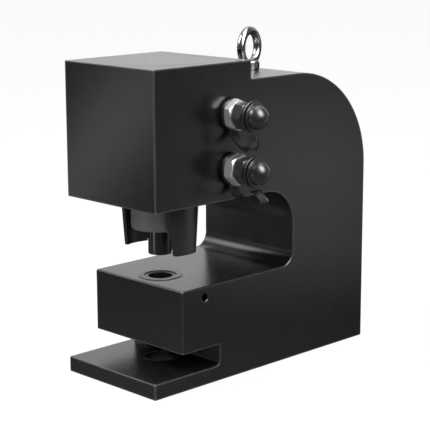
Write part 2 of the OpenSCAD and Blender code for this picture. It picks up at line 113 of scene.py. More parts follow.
frame_low, frame_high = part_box("frame")
cap_low, cap_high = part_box("cylinder_cap")
die_low, die_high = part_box("die")
nut_low, nut_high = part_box("punch_nut")
punch_low, punch_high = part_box("punch")
legs_low, legs_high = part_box("stripper")
side_x = frame_high.x
head_top = frame_high.z
head_half = 57 * mm
head_bottom = 161.5 * mm
frame_top = 265 * mm
throat_back = 112.5 * mm
jaw_front = -27 * mm
jaw_top = 89.5 * mm
jaw_bottom = 33.2 * mm
slot_back = 18.2 * mm
base_top = 14 * mm
fit = 0.05 * mm
touch = 0.01 * mm
print("the frame is", round(2 * side_x / mm, 1), "mm wide and", round(head_top / mm, 1), "mm high")

# %% [markdown]
# ## Small tools for drawing
#
# A machinist's part is a drawing that was either turned or extruded, so almost every piece here
# starts the same way: a plane is merged to one point, and that point is extruded from corner to
# corner. A closed line can be filled and extruded, and any line can be spun round Z. Drawing with
# points keeps each size readable, where a moved vertex would hide it.

# %% Selecting by place
def choose_at(piece, point):
    """Selects the vertices of piece that lie at the point, and stays in edit mode."""
    bpy.ops.object.mode_set(mode="OBJECT")
    for items in (piece.data.vertices, piece.data.edges, piece.data.polygons):
        items.foreach_set("select", [False] * len(items))
    bpy.context.tool_settings.mesh_select_mode = (True, False, False)
    for vertex in piece.data.vertices:
        vertex.select = (vertex.co - Vector(point)).length < touch
    bpy.ops.object.mode_set(mode="EDIT")


def deselect_all():
    """Leaves edit mode and deselects all, so that a new object starts alone."""
    if bpy.context.mode != "OBJECT":
        bpy.ops.object.mode_set(mode="OBJECT")
    bpy.ops.object.select_all(action="DESELECT")


def only(*pieces):
    """Selects these pieces alone, in object mode. The first one is active."""
    deselect_all()
    for piece in pieces:
        piece.select_set(True)
    bpy.context.view_layer.objects.active = pieces[0]

# %% Drawing a line of points
def drawn(name, points, closed=True):
    """A new object at the origin: one line through the points, and back to the first if closed."""
    deselect_all()
    bpy.ops.mesh.primitive_plane_add(size=mm)
    piece = bpy.context.active_object
    piece.name = name
    bpy.context.tool_settings.mesh_select_mode = (True, False, False)
    bpy.ops.object.mode_set(mode="EDIT")
    bpy.ops.mesh.merge(type="CENTER")
    bpy.ops.transform.translate(value=points[0])
    path = list(points) + ([points[0]] if closed else [])
    for here, there in zip(path, path[1:]):
        step = Vector(there) - Vector(here)
        bpy.ops.mesh.extrude_vertices_move(TRANSFORM_OT_translate={"value": step})
    bpy.ops.mesh.select_all(action="SELECT")
    bpy.ops.mesh.remove_doubles(threshold=0.001 * mm)
    return piece


def round_corner(piece, point, radius, segments):
    """Rounds the corner of a drawn line that lies at the point."""
    choose_at(piece, point)
    bpy.ops.mesh.bevel(
        offset=radius, segments=segments, profile=0.5, affect="VERTICES", clamp_overlap=False
    )

# %% Spinning a line into a turned piece
def turned(name, outline, rounds=(), closed=True, steps=96):
    """A solid of revolution round Z. The outline is a list of (radius, height). Each round is
    (radius, height, rounding) of one corner. An open outline starts and ends on the axis."""
    piece = drawn(name, [(r, 0, z) for r, z in outline], closed)
    for r, z, radius in rounds:
        round_corner(piece, (r, 0, z), radius, 3)
    bpy.ops.mesh.select_all(action="SELECT")
    bpy.ops.mesh.spin(steps=steps, angle=2 * math.pi, center=(0, 0, 0), axis=(0, 0, 1))
    bpy.ops.mesh.select_all(action="SELECT")
    bpy.ops.mesh.remove_doubles(threshold=0.002 * mm)
    bpy.ops.mesh.normals_make_consistent(inside=False)
    bpy.ops.object.mode_set(mode="OBJECT")
    return piece


def rod(radius, low, high, steps=96):
    """A plain bar on the Z axis, used as a cutter."""
    return turned("cutter", [(0, low), (radius, low), (radius, high), (0, high)], (), False, steps)

# %% Combining solids and putting them in place
def modified(piece, kind, **settings):
    """Adds a modifier with these settings and applies it."""
    only(piece)
    modifier = piece.modifiers.new(kind.lower(), kind)
    for label, value in settings.items():
        setattr(modifier, label, value)
    bpy.ops.object.modifier_apply(modifier=modifier.name)
    return piece


def combine(piece, other, operation):
    """Joins, cuts or intersects piece with other, which is used up."""
    modified(piece, "BOOLEAN", operation=operation, solver="EXACT", object=other)
    bpy.data.objects.remove(other)
    return piece


def placed(piece, turn=(0, 0, 0), at=(0, 0, 0)):
    """Turns and moves a piece, and keeps its object at the origin."""
    only(piece)
    piece.rotation_euler = turn
    piece.location = at
    bpy.ops.object.transform_apply(location=True, rotation=True, scale=True)
    return piece


def trimmed(piece, planes):
    """Cuts away what lies beyond each (point, normal), closes it, and stays in edit mode."""
    only(piece)
    bpy.ops.object.mode_set(mode="EDIT")
    for point, normal in planes:
        bpy.ops.mesh.select_all(action="SELECT")
        bpy.ops.mesh.bisect(plane_co=point, plane_no=normal, use_fill=True, clear_outer=True)


def bevelled(piece, width, segments=3, angle=30):
    """Rounds every edge that is sharper than the angle."""
    limit = math.radians(angle)
    return modified(
        piece, "BEVEL", width=width, segments=segments, limit_method="ANGLE", angle_limit=limit
    )


def smoothed(piece, angle=40):
    """Shades round faces smooth and keeps flat faces flat, by weighing normals with area."""
    only(piece)
    bpy.ops.object.shade_smooth_by_angle(angle=math.radians(angle))
    return modified(piece, "WEIGHTED_NORMAL", keep_sharp=True, weight=100)

# %% [markdown]
# ## Finishes that several materials share
#
# Three effects come back on nearly every piece, so each is a node group with named inputs. Fine
# grain is the tooth of blackened or plated steel. Turning marks are the rings that a lathe leaves.
# Edge wear lightens the corners: partly rubbed wear, where handling rubs a coating thin, and partly
# a painted highlight that stands in for the light that rounded edges catch; on the black frame it
# is mostly the painted highlight. It finds them by looking into the piece: behind a flat face lies
# a lot of metal, behind an edge only a little. A painted texture could do the same, but a group
# keeps its scale in real metres and takes other values each time.

# %% A helper that starts a node group
def new_group(name, inputs, outputs):
    """A shader node group. Its inputs are (kind, name, value) and its outputs (kind, name)."""
    group = bpy.data.node_groups.new(name, "ShaderNodeTree")
    for kind, label, value in inputs:
        made = group.interface.new_socket(label, in_out="INPUT", socket_type="NodeSocket" + kind)
        if value is not None:
            made.default_value = value
    for kind, label in outputs:
        group.interface.new_socket(label, in_out="OUTPUT", socket_type="NodeSocket" + kind)
    return group, group.nodes.new("NodeGroupInput"), group.nodes.new("NodeGroupOutput")


def math_node(tree, operation, a, b=None, clamp=False):
    """One Math node. Its inputs are numbers or sockets."""
    node = tree.nodes.new("ShaderNodeMath")
    node.operation = operation
    node.use_clamp = clamp
    for place, value in enumerate((a, b)):
        if value is None:
            continue
        if isinstance(value, (int, float)):
            node.inputs[place].default_value = value
        else:
            tree.links.new(value, node.inputs[place])
    return node.outputs[0]

# %% Fine grain
grain_group, start, end = new_group(
    "fine_grain",
    [("Vector", "Vector", None), ("Float", "Grain Size", 0.0004), ("Float", "Cloud Size", 0.05),
     ("Color", "Colour", (0.5, 0.5, 0.5, 1)), ("Float", "Colour Spread", 0.2),
     ("Float", "Roughness", 0.4), ("Float", "Roughness Spread", 0.1)],
    [("Color", "Colour"), ("Float", "Roughness"), ("Float", "Height")],
)
noises = {}
for label in ("Grain Size", "Cloud Size"):
    noise = grain_group.nodes.new("ShaderNodeTexNoise")
    noise.inputs["Detail"].default_value = 4
    scale = math_node(grain_group, "DIVIDE", 1, start.outputs[label])
    grain_group.links.new(start.outputs["Vector"], noise.inputs["Vector"])
    grain_group.links.new(scale, noise.inputs["Scale"])
    noises[label] = noise.outputs["Fac"]
noise_middle = 0.5
cloud = math_node(grain_group, "SUBTRACT", noises["Cloud Size"], noise_middle)
tooth = math_node(grain_group, "SUBTRACT", noises["Grain Size"], noise_middle)
both = math_node(grain_group, "ADD", cloud, tooth)
spread = math_node(grain_group, "MULTIPLY", both, start.outputs["Colour Spread"])
tint = grain_group.nodes.new("ShaderNodeVectorMath")
tint.operation = "SCALE"
grain_group.links.new(start.outputs["Colour"], tint.inputs[0])
grain_group.links.new(math_node(grain_group, "ADD", spread, 1), tint.inputs["Scale"])
rough_change = math_node(grain_group, "MULTIPLY", both, start.outputs["Roughness Spread"])
rough = math_node(grain_group, "ADD", rough_change, start.outputs["Roughness"], clamp=True)
grain_group.links.new(tint.outputs[0], end.inputs["Colour"])
grain_group.links.new(rough, end.inputs["Roughness"])
grain_group.links.new(noises["Grain Size"], end.inputs["Height"])
print("fine grain has", len(grain_group.nodes), "nodes")

# %% Turning marks
marks_group, start, end = new_group(
    "turning_marks",
    [("Vector", "Vector", None), ("Float", "Pitch", 0.0004)],
    [("Float", "Height")],
)
split = marks_group.nodes.new("ShaderNodeSeparateXYZ")
marks_group.links.new(start.outputs["Vector"], split.inputs[0])
square_x = math_node(marks_group, "MULTIPLY", split.outputs["X"], split.outputs["X"])
square_y = math_node(marks_group, "MULTIPLY", split.outputs["Y"], split.outputs["Y"])
radius = math_node(marks_group, "SQRT", math_node(marks_group, "ADD", square_x, square_y))
join = marks_group.nodes.new("ShaderNodeCombineXYZ")
marks_group.links.new(radius, join.inputs["X"])
marks_group.links.new(split.outputs["Z"], join.inputs["Y"])
noise = marks_group.nodes.new("ShaderNodeTexNoise")
noise.inputs["Detail"].default_value = 3
marks_group.links.new(join.outputs[0], noise.inputs["Vector"])
scale = math_node(marks_group, "DIVIDE", 1, start.outputs["Pitch"])
marks_group.links.new(scale, noise.inputs["Scale"])
marks_group.links.new(noise.outputs["Fac"], end.inputs["Height"])
print("turning marks have", len(marks_group.nodes), "nodes")

# %% Edge wear and painted edge highlight
# Convex edges get a lighter colour: partly rubbed wear, partly a painted highlight standing in for
# the light that rounded edges catch.
wear_and_highlight_group, start, end = new_group(
    "edge_wear_and_highlight",
    [("Vector", "Vector", None), ("Float", "Width", 0.001), ("Float", "Amount", 0.5),
     ("Color", "Colour", (0, 0, 0, 1)), ("Color", "Worn And Lit Colour", (0.1, 0.1, 0.1, 1))],
    [("Color", "Colour"), ("Float", "Mask")],
)
behind = wear_and_highlight_group.nodes.new("ShaderNodeAmbientOcclusion")
behind.samples = 12
behind.inside = True
behind.only_local = True
wear_and_highlight_group.links.new(start.outputs["Width"], behind.inputs["Distance"])
thin = math_node(wear_and_highlight_group, "SUBTRACT", 1, behind.outputs["AO"])
patches = wear_and_highlight_group.nodes.new("ShaderNodeTexNoise")
patches.inputs["Scale"].default_value = 300
patches.inputs["Detail"].default_value = 5
wear_and_highlight_group.links.new(start.outputs["Vector"], patches.inputs["Vector"])
mask_starts, mask_gain, least_wear_and_highlight = 0.1, 3, 0.3
above = math_node(wear_and_highlight_group, "SUBTRACT", thin, mask_starts)
near_edge = math_node(wear_and_highlight_group, "MULTIPLY", above, mask_gain, clamp=True)
rubbed_and_lit = math_node(wear_and_highlight_group, "ADD", patches.outputs["Fac"], least_wear_and_highlight)
patchy = math_node(wear_and_highlight_group, "MULTIPLY", near_edge, rubbed_and_lit)
mask = math_node(wear_and_highlight_group, "MULTIPLY", patchy, start.outputs["Amount"], clamp=True)
mix = wear_and_highlight_group.nodes.new("ShaderNodeMix")
mix.data_type = "RGBA"
wear_and_highlight_group.links.new(mask, mix.inputs["Factor"])
wear_and_highlight_group.links.new(start.outputs["Colour"], mix.inputs["A"])
wear_and_highlight_group.links.new(start.outputs["Worn And Lit Colour"], mix.inputs["B"])
wear_and_highlight_group.links.new(mix.outputs["Result"], end.inputs["Colour"])
wear_and_highlight_group.links.new(mask, end.inputs["Mask"])
print("edge wear and painted highlight has", len(wear_and_highlight_group.nodes), "nodes")

# %% [markdown]
# ## One recipe for every finish
#
# A material here is always the same chain: place, grain, wear with a painted edge highlight,
# shader, with a bump from the grain and, on turned pieces, from the lathe rings. Only the numbers
# differ, so the chain is a function and each finish is one call. The colour of a metal or a
# coating is its base colour in a plain studio light, and values that don't vary are set on the
# shader itself.

# %% The recipe
def group_node(tree, group, place, values):
    """Puts a group into a material. The place feeds its Vector, and the values its inputs."""
    node = tree.nodes.new("ShaderNodeGroup")
    node.node_tree = group
    tree.links.new(place, node.inputs["Vector"])
    for label, value in values.items():
        node.inputs[label].default_value = value
    return node


def finish(name, colour, roughness, metallic=0.0, grain=0.4, bump=0.02, spread=0.2,
           rough_spread=0.08, worn_and_lit=None, wear_and_highlight=0.4, wear_and_highlight_width=0.8, marks=0.0, pitch=0.35):
    """A procedural material. Sizes are in millimetres. Marks is how much the lathe rings show."""
    material = bpy.data.materials.new(name)
    material.use_nodes = True
    tree = material.node_tree
    shader = tree.nodes["Principled BSDF"]
    shader.inputs["Metallic"].default_value = metallic
    place = tree.nodes.new("ShaderNodeTexCoord").outputs["Object"]
    grains = group_node(tree, grain_group, place, {
        "Grain Size": grain * mm, "Colour": (*colour, 1), "Colour Spread": spread,
        "Roughness": roughness, "Roughness Spread": rough_spread,
    })
    # The edges take the worn colour: rubbed wear, and where that colour is far lighter than the
    # base, a painted highlight.
    lighter = [min(1, 2.5 * part) for part in colour]
    wears_and_highlights = group_node(tree, wear_and_highlight_group, place, {
        "Width": wear_and_highlight_width * mm, "Amount": wear_and_highlight, "Worn And Lit Colour": (*(worn_and_lit or lighter), 1),
    })
    tree.links.new(grains.outputs["Colour"], wears_and_highlights.inputs["Colour"])
    tree.links.new(wears_and_highlights.outputs["Colour"], shader.inputs["Base Color"])
    tree.links.new(grains.outputs["Roughness"], shader.inputs["Roughness"])
    height = grains.outputs["Height"]
    if marks:
        rings = group_node(tree, marks_group, place, {"Pitch": pitch * mm})
        ring_height = math_node(tree, "MULTIPLY", rings.outputs["Height"], marks)
        height = math_node(tree, "ADD", height, ring_height)
    bumps = tree.nodes.new("ShaderNodeBump")
    bumps.inputs["Distance"].default_value = bump * mm
    tree.links.new(height, bumps.inputs["Height"])
    tree.links.new(bumps.outputs[0], shader.inputs["Normal"])
    return material

# %% [markdown]
# ## The finishes of this machine
#
# The block is blackened steel with a satin coat. The cover and the punch are blackened too, but
# turned or ground. The adaptors are bright zinc, the eye bolt is polished stainless steel, and the
# caps are moulded rubber with a slight gloss.

# %% The finishes
finishes = {
    # The frame's worn colour is thirty times its paint at full amount: mostly a painted highlight
    # along every edge, with some rubbed wear.
    "frame_black": finish("satin_black", (0.0078, 0.008, 0.0086), 0.26, grain=0.5, bump=0.01,
                          worn_and_lit=(0.24, 0.24, 0.243), wear_and_highlight=1, wear_and_highlight_width=2),
    "cap_black": finish("turned_black", (0.036, 0.0362, 0.037), 0.27, metallic=0.5, bump=0.01,
                        marks=1.2, pitch=0.5),
    "seal_rubber": finish("nitrile_rubber", (0.012, 0.012, 0.012), 0.55, bump=0.03),
    "bush_bronze": finish("turned_bronze", (0.55, 0.36, 0.16), 0.32, metallic=1, marks=2),
    "ram_chrome": finish("hard_chrome", (0.56, 0.57, 0.59), 0.16, metallic=1, bump=0.004,
                         marks=1, pitch=0.2),
    "guide_plastic": finish("guide_strip", (0.16, 0.09, 0.045), 0.6, bump=0.05),
    "nut_steel": finish("grey_nut_steel", (0.25, 0.25, 0.252), 0.5, metallic=0.4, bump=0.02,
                        marks=3, worn_and_lit=(0.3, 0.3, 0.3)),
    "punch_black": finish("ground_black", (0.02, 0.02, 0.021), 0.22, bump=0.006, marks=1.5,
                          pitch=0.2, worn_and_lit=(0.1, 0.1, 0.1)),
    "die_steel": finish("die_black", (0.014, 0.014, 0.0145), 0.32, bump=0.012, marks=1.5),
    "screw_black": finish("black_oxide", (0.018, 0.018, 0.019), 0.45, bump=0.02),
    "stripper_black": finish("stripper_satin", (0.024, 0.024, 0.025), 0.3, bump=0.02,
                             worn_and_lit=(0.06, 0.06, 0.06)),
    "eyebolt_steel": finish("polished_stainless", (0.3, 0.295, 0.29), 0.2, metallic=1,
                            bump=0.008),
    "washer_steel": finish("zinc_washer", (0.4, 0.4, 0.41), 0.35, metallic=1, bump=0.02),
    "adaptor_zinc": finish("bright_zinc", (0.8, 0.79, 0.75), 0.3, metallic=0.2, grain=0.25,
                           bump=0.02, spread=0.1, worn_and_lit=(0.85, 0.84, 0.81)),
    "coupler_black": finish("black_plated", (0.08, 0.08, 0.081), 0.3, bump=0.03,
                            worn_and_lit=(0.3, 0.3, 0.3)),
    "valve_brass": finish("turned_brass", (0.6, 0.43, 0.17), 0.28, metallic=1, bump=0.01),
    "cap_rubber": finish("moulded_rubber", (0.034, 0.034, 0.035), 0.26, bump=0.02, wear_and_highlight=0.2),
}
print(len(finishes), "finishes")

# %% [markdown]
# ## Dressing a node
#
# A new piece rides on the body of the node that it covers, stands for that node, and takes the
# finish of its slot. A node whose shape is already right only gets the finish.

# %% Dress and repaint
def dress(piece, node, body=None):
    """Gives a new piece the finish, the body and the slot of the node that it replaces."""
    piece.data.materials.clear()
    piece.data.materials.append(finishes[slot_of[node]])
    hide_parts(node)
    if body is None:
        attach(piece, body_of[node])
    print(piece.name, "has", len(piece.data.polygons), "faces")
    return piece


def repaint(node):
    """Puts the finish of a node's slot on the node itself."""
    for place in frame["nodes"][node].material_slots:
        place.material = finishes[slot_of[node]]
        print(node, "is now", place.material.name)

# %% [markdown]
# ## The frame
#
# The real frame is flame-cut from one thick plate and milled all over. Its side view says it all,
# so it is drawn once in the Y-Z plane, filled and extruded to the full width. Cubes joined by
# booleans would leave seams at the rounded throat; a single outline has none.

# %% Draw the side of the frame and extrude it
outline = [
    (frame_low.y, 0), (frame_high.y, 0), (frame_high.y, frame_top), (head_half, frame_top),
    (head_half, head_top), (-head_half, head_top), (-head_half, head_bottom),
    (throat_back, head_bottom), (throat_back, jaw_top), (jaw_front, jaw_top),
    (jaw_front, jaw_bottom), (slot_back, jaw_bottom), (slot_back, base_top),
    (frame_low.y, base_top),
]
skin = drawn("frame_skin", [(-side_x, y, z) for y, z in outline])
rear_r, throat_r, jaw_corner_r, slot_r = 93.5 * mm, 33 * mm, 13.5 * mm, 4.5 * mm
rounded = [
    ((frame_high.y, frame_top), rear_r, 32), ((throat_back, head_bottom), throat_r, 20),
    ((throat_back, jaw_top), jaw_corner_r, 14), ((slot_back, base_top), slot_r, 8),
]
for (y, z), radius, segments in rounded:
    round_corner(skin, (-side_x, y, z), radius, segments)
bpy.ops.mesh.select_all(action="SELECT")
bpy.ops.mesh.edge_face_add()
bpy.ops.mesh.extrude_region_move(TRANSFORM_OT_translate={"value": (2 * side_x, 0, 0)})
bpy.ops.mesh.select_all(action="SELECT")
bpy.ops.mesh.normals_make_consistent(inside=False)
bpy.ops.object.mode_set(mode="OBJECT")
print("the plain block has", len(skin.data.polygons), "faces")

# %% [markdown]
# The edges make the block look real: a hand-dressed rounding of 1.5 mm on the jaw, where the
# work slides on, and a bare break elsewhere. A Bevel modifier takes one width, so each edge carries
# its own share of it as a bevel weight. The bevel comes before the holes, while the block still has
# nothing but clean long edges, because a bevel round a bored hole leaves creases.

# %% Round the edges by weight
widest, narrowest = 1.5 * mm, 0.7 * mm


def edge_width(middle):
    """The rounding that an edge of the block gets, by its middle. It fades out up the throat."""
    on_jaw = middle.y < throat_back + mm and jaw_bottom + mm < middle.z < jaw_top + jaw_corner_r
    if not on_jaw or middle.y < jaw_front - mm:
        return narrowest
    rise = max(0, middle.z - jaw_top) / jaw_corner_r
    return widest - (widest - narrowest) * rise


only(skin)
bpy.context.tool_settings.mesh_select_mode = (False, True, False)
bpy.ops.object.mode_set(mode="EDIT")
bpy.ops.mesh.select_all(action="DESELECT")
bpy.ops.mesh.edges_select_sharp(sharpness=math.radians(30))
bpy.ops.object.mode_set(mode="OBJECT")
weights = skin.data.attributes.new("bevel_weight_edge", "FLOAT", "EDGE")
sharp = [edge for edge in skin.data.edges if edge.select]
for edge in sharp:
    a, b = (skin.data.vertices[i].co for i in edge.vertices)
    weights.data[edge.index].value = edge_width((a + b) / 2) / widest
print(len(sharp), "edges are rounded")
modified(
    skin, "BEVEL", limit_method="WEIGHT", width=widest, segments=4, use_clamp_overlap=False
)
print("the rounded block has", len(skin.data.polygons), "faces")

# %% [markdown]
# The holes are bored the way the shop bores them: one cutter after another, from the axis of the
# punch, from the right side for the ports and the set screw, and from the top for the eye bolt. A
# cutter widens at its mouth along a quarter circle, so it rounds the rim of the hole as it cuts.

# %% Cutters with a rounded mouth
over = 2 * mm
arc_steps = 5
quarter = [math.pi / 2 * i / arc_steps for i in range(arc_steps + 1)]


def borer(radius, low, high, low_rim=0, high_rim=0, steps=96):
    """A cutter on the Z axis. A rim is the rounding that it leaves where it enters a face."""
    points = [(0, low - (over if low_rim else 0))]
    if low_rim:
        points += [(radius + low_rim, low - over)]
        points += [
            (radius + low_rim * (1 - math.sin(a)), low + low_rim * (1 - math.cos(a)))
            for a in quarter
        ]
    else:
        points += [(radius, low)]
    if high_rim:
        points += [
            (radius + high_rim * (1 - math.cos(a)), high - high_rim * (1 - math.sin(a)))
            for a in quarter
        ]
        points += [(radius + high_rim, high + over), (0, high + over)]
    else:
        points += [(radius, high), (0, high)]
    return turned("cutter", points, (), False, steps)

# %% Bore the holes
rim, die_rim, screw_rim = 0.45 * mm, 0.15 * mm, 1.3 * mm
set_z = 79.8 * mm
port_y = 31.5 * mm
port_levels = {"upper": 236.9 * mm, "lower": 189.6 * mm}
eye_y = 114 * mm
seat_z = cap_low.z + 9 * mm
bore_r, bore_top = 40 * mm, head_top - 24 * mm
gland_r, ring_seat_r, slug_r = 29 * mm, 38 * mm, 15 * mm
thread_r, port_r, set_r = 4 * mm, 8.3 * mm, 3.5 * mm
floor_low, floor_high = head_bottom + 8 * mm, head_bottom + 20 * mm
holes = {
    "cover": (cap_high.x + fit, seat_z, head_top, 0, rim),
    "cylinder": (bore_r, floor_high, bore_top, 0, 0),
    "gland": (gland_r + fit, floor_low - mm, floor_high + mm, 0, 0),
    "stripper": (ring_seat_r + fit, head_bottom, floor_low, rim, 0),
    "die": (die_high.y + fit, die_low.z, jaw_top, 0, die_rim),
    "slugs through the jaw": (slug_r, jaw_bottom, die_low.z + over, rim, 0),
    "slugs through the base": (slug_r, 0, base_top, rim, rim),
}
for radius, low, high, low_rim, high_rim in holes.values():
    combine(skin, borer(radius, low, high, low_rim, high_rim), "DIFFERENCE")
eye_hole = borer(thread_r + fit, frame_top - 16 * mm, frame_top, 0, rim, 48)
combine(skin, placed(eye_hole, at=(0, eye_y, 0)), "DIFFERENCE")
across = [(set_r + fit, 10 * mm, 0, set_z, screw_rim)]
across += [(port_r + fit, side_x - 14 * mm, port_y, z, rim) for z in port_levels.values()]
for radius, start_x, y, z, mouth in across:
    cutter = borer(radius, start_x, side_x, 0, mouth, 64)
    combine(skin, placed(cutter, (0, math.pi / 2, 0), (0, y, z)), "DIFFERENCE")
print("the bored block has", len(skin.data.polygons), "faces")
dress(smoothed(skin), "frame")

# %% [markdown]
# ## The cover of the cylinder
#
# A round cover is screwed into the head, flush with its top. It is a lathe part, so its half
# section is drawn and spun. The small rounding of its rim and of the hole round it makes the thin
# line that shows where the two meet.

# %% Turn the cover
cap_r = cap_high.x
spigot_r, groove_r = 39.95 * mm, 36.5 * mm
groove_low, groove_high = cap_low.z + 2 * mm, cap_low.z + 7 * mm
cover = turned(
    "cylinder_cover",
    [(0, cap_low.z), (spigot_r, cap_low.z), (spigot_r, groove_low), (groove_r, groove_low),
     (groove_r, groove_high), (spigot_r, groove_high), (spigot_r, seat_z), (cap_r, seat_z),
     (cap_r, head_top), (0, head_top)],
    [(cap_r, head_top, 0.6 * mm), (spigot_r, cap_low.z, 0.6 * mm)], False, 128,
)
dress(smoothed(cover), "cylinder_cap")

# %% [markdown]
# ## The punch and its nut
#
# The nut screws onto the ram and carries the punch by its head. Both are turned, so both are spun.
# The nut keeps a chamfer round its lower edge, which catches a thin light line, and the punch has
# a slightly hollow tip with a crisp cutting edge.

# %% Turn the nut
nut_r = nut_high.x
punch_r = 10.5 * mm
head_r = punch_high.x
head_z = punch_high.z - 8 * mm
stub_r, chamfer = 20 * mm, 1.5 * mm
nut = turned(
    "punch_nut_turned",
    [(nut_r, nut_high.z), (nut_r, nut_low.z + chamfer), (nut_r - chamfer, nut_low.z),
     (punch_r + fit, nut_low.z), (punch_r + fit, head_z), (head_r + fit, head_z),
     (head_r + fit, punch_high.z), (stub_r + fit, punch_high.z), (stub_r + fit, nut_high.z)],
    [(nut_r, nut_high.z, 0.6 * mm), (nut_r, nut_low.z + chamfer, 0.3 * mm),
     (nut_r - chamfer, nut_low.z, 0.3 * mm)],
)
dress(smoothed(nut), "punch_nut")

# %% Turn the punch
tip = punch_low.z
punch = turned(
    "punch_turned",
    [(0, tip + 0.5 * mm), (punch_r - 2 * mm, tip + 0.4 * mm), (punch_r - 0.2 * mm, tip),
     (punch_r, tip + 0.2 * mm), (punch_r, head_z), (head_r, head_z), (head_r, punch_high.z),
     (0, punch_high.z)],
    [(head_r, punch_high.z, 0.4 * mm)], False,
)
dress(smoothed(punch), "punch")

# %% [markdown]
# ## The die
#
# The die stands only half a millimetre proud of the jaw. It has a shallow dish round its cutting
# hole, a wider relief below, and one flat on its side for the set screw. The spun ring is cut by a
# plane for the flat, as a mill would cut it.

# %% Turn the die and mill its flat
die_r = die_high.y
dish_r, dish_z = 14.5 * mm, die_high.z - 0.8 * mm
hole_r, relief_r, relief_z = 11 * mm, 13 * mm, die_high.z - 8 * mm
die = turned(
    "die_turned",
    [(die_r, die_high.z), (dish_r, die_high.z), (dish_r, dish_z), (hole_r, dish_z),
     (hole_r, relief_z), (relief_r, relief_z), (relief_r, die_low.z), (die_r, die_low.z)],
    [(die_r, die_high.z, 0.2 * mm), (dish_r, die_high.z, 0.2 * mm), (hole_r, dish_z, 0.2 * mm),
     (die_r, die_low.z, 0.5 * mm)],
)
trimmed(die, [((die_high.x, 0, 0), (1, 0, 0))])
dress(smoothed(die), "die")

# %% [markdown]
# ## The stripper
#
# A ring in the head carries two curved legs that narrow towards their feet. A leg is a slice of a
# tube, so one tube is spun, three cutting planes leave the slice, and the slice is copied to the
# other side. The ring and the legs are then joined to one solid and their edges rounded.

# %% Cut one leg and copy it
leg_in, leg_out = 32 * mm, 36 * mm
foot = legs_low.z
top_angle, foot_angle = math.radians(31), math.radians(19.5)
half_top = leg_out * math.sin(top_angle)
half_foot = leg_out * math.sin(foot_angle)
lean = Vector((0, head_bottom - foot, half_foot - half_top)).normalized()
leg_top = head_bottom + mm
leg = turned(
    "leg", [(leg_out, leg_top), (leg_in, leg_top), (leg_in, foot), (leg_out, foot)], steps=180
)
trimmed(leg, [
    ((10 * mm, 0, 0), (-1, 0, 0)),
    ((0, half_foot, foot), lean),
    ((0, -half_foot, foot), (0, -lean.y, lean.z)),
])
bpy.ops.mesh.select_all(action="SELECT")
bpy.ops.mesh.normals_make_consistent(inside=False)
bevelled(leg, 0.7 * mm)
bpy.ops.object.duplicate()
other_leg = placed(bpy.context.active_object, (0, 0, math.pi))
print("a leg is", round((head_bottom - foot) / mm, 1), "mm long")

# %% Join the legs to their ring
ring_in_r, ring_top = 28.5 * mm, head_bottom + 8 * mm
stripper = turned(
    "stripper_legs",
    [(ring_seat_r, ring_top), (ring_in_r, ring_top), (ring_in_r, head_bottom),
     (ring_seat_r, head_bottom)],
    [(ring_in_r, head_bottom, 0.5 * mm)],
)
screw_circle, screw_angles = 33.5 * mm, (62, 118, 242, 298)
screw_holes = [
    (3.55 * mm, head_bottom - mm, head_bottom + 4 * mm),
    (2.05 * mm, head_bottom, legs_high.z + mm),
]
for angle in (math.radians(a) for a in screw_angles):
    spot = (screw_circle * math.cos(angle), screw_circle * math.sin(angle), 0)
    for radius, low, high in screw_holes:
        combine(stripper, placed(rod(radius, low, high, 32), at=spot), "DIFFERENCE")
combine(stripper, leg, "UNION")
combine(stripper, other_leg, "UNION")
dress(smoothed(stripper), "stripper")

# %% [markdown]
# ## The eye bolt
#
# A forged eye bolt has no sharp inner corners: ring, collar and shank flow together. A torus
# and a turned stem are joined, remeshed to one skin and smoothed a little, which leaves the small
# fillets that the forging die leaves.

# %% Forge the eye bolt
eye_low, eye_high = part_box("eyebolt")
eye_turn = math.radians(14.3)
wire_r = 3.9 * mm
ring_r = 19 * mm - wire_r
shank_end = frame_top - 15 * mm
ring_z = frame_top + 20.3 * mm
collar_r, collar_top = 9.4 * mm, frame_top + 8 * mm
stem = turned(
    "eyebolt_forged",
    [(0, shank_end), (thread_r, shank_end), (thread_r, frame_top), (collar_r, frame_top),
     (collar_r, collar_top), (0, collar_top)],
    [(collar_r, collar_top, 1.6 * mm), (collar_r, frame_top, 0.5 * mm)], False,
)
deselect_all()
bpy.ops.mesh.primitive_torus_add(
    major_radius=ring_r, minor_radius=wire_r, major_segments=96, minor_segments=32,
    location=(0, 0, ring_z), rotation=(0, math.pi / 2, 0),
)
ring = bpy.context.active_object
only(stem, ring)
bpy.ops.object.join()
stem.data.remesh_voxel_size = 0.4 * mm
bpy.ops.object.voxel_remesh()
modified(stem, "SMOOTH", iterations=5)
bpy.ops.object.shade_smooth()
placed(stem, (0, 0, eye_turn), (0, eye_y, 0))
dress(stem, "eyebolt")
print("the eye bolt is", round((eye_high.z - eye_low.z) / mm, 1), "mm tall with its shank")

# %% [markdown]
# ## The hose couplers
#
# Each port holds a washer, a bright adaptor with a hexagon, a black coupler with a smaller one,
# and a rubber cap on a strap. All are made standing on Z, where a lathe would hold them, and then
# laid on their port with one helper. A hexagon is a six-sided cylinder whose corners are turned
# off: the intersection with a chamfered disc gives the curved chamfer lines of a real nut.

